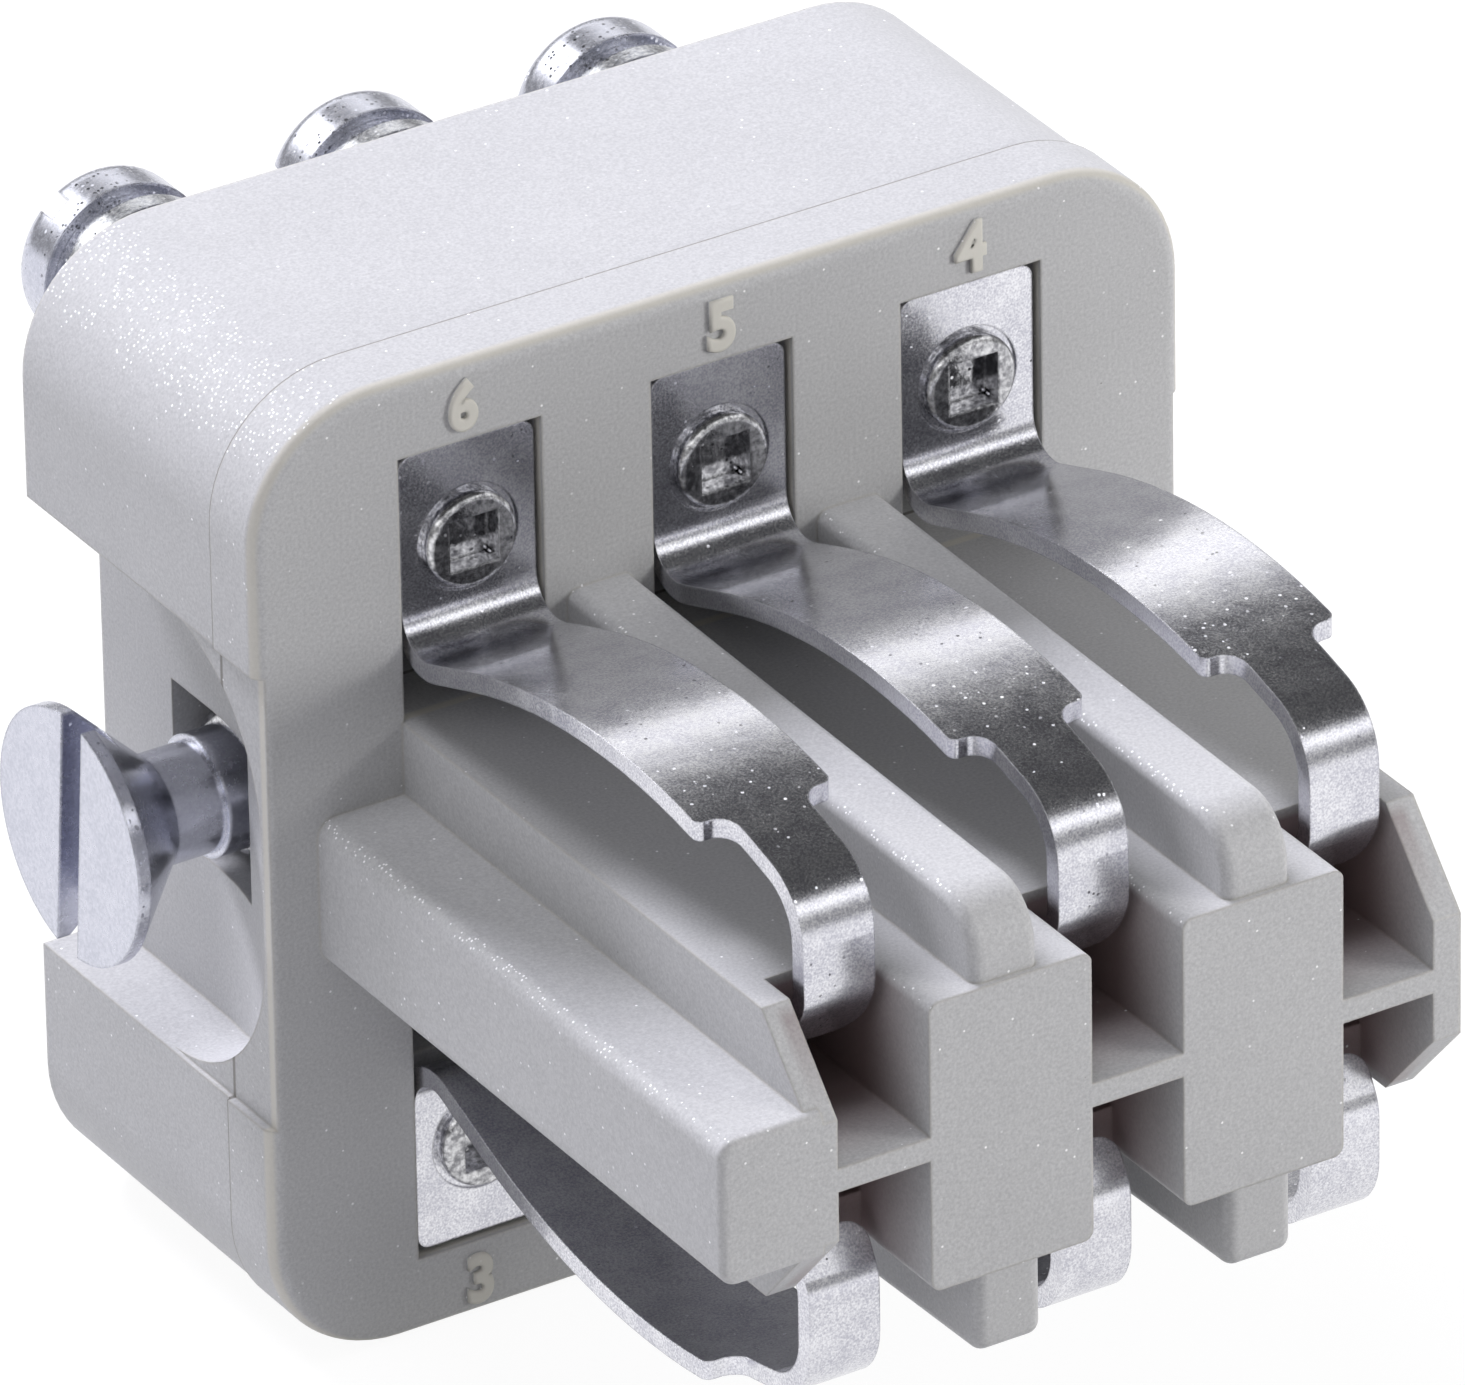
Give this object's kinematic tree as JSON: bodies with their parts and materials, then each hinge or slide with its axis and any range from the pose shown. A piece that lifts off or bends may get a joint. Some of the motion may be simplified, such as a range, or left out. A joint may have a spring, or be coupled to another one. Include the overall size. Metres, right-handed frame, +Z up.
{
  "type": "heavy duty connector insert",
  "caption": "Rectangular power connector insert: moulded grey block with a flat tongue of arched leaf spring contacts, rear screw terminals and side fixing screws.",
  "frame": {"origin": "centre of the block's front face, in the middle of the tongue's root", "axes": "-Y along the tongue towards the mating half, +X to the right across the poles, +Z up to the row of poles 4 to 6"},
  "size_m": [0.0373, 0.0459, 0.0336],
  "materials": {
    "insulator": "fine glass filled, satin",
    "spring_silver": "silver plated strip, lightly mottled",
    "post_plating": "silver plated brass",
    "zinc_steel": "bright zinc plated",
    "washer_steel": "zinc plated"
  },
  "bodies": {
    "root": {"insulator_body": "insulator", "contact_spring_1": "spring_silver", "contact_spring_2": "spring_silver", "contact_spring_3": "spring_silver", "contact_spring_4": "spring_silver", "contact_spring_5": "spring_silver", "contact_spring_6": "spring_silver", "terminal_post_1": "post_plating", "terminal_post_2": "post_plating", "terminal_post_3": "post_plating", "terminal_post_4": "post_plating", "terminal_post_5": "post_plating", "terminal_post_6": "post_plating", "terminal_screw_1": "zinc_steel", "terminal_screw_2": "zinc_steel", "terminal_screw_3": "zinc_steel", "terminal_screw_4": "zinc_steel", "terminal_screw_5": "zinc_steel", "terminal_screw_6": "zinc_steel", "spring_washer_1": "washer_steel", "spring_washer_2": "washer_steel", "spring_washer_3": "washer_steel", "spring_washer_4": "washer_steel", "spring_washer_5": "washer_steel", "spring_washer_6": "washer_steel", "clamp_washer_1": "washer_steel", "clamp_washer_2": "washer_steel", "clamp_washer_3": "washer_steel", "clamp_washer_4": "washer_steel", "clamp_washer_5": "washer_steel", "clamp_washer_6": "washer_steel", "fixing_screw_left": "zinc_steel", "fixing_nut_left": "washer_steel", "fixing_screw_right": "zinc_steel", "fixing_nut_right": "washer_steel"}
  },
  "joints": []
}
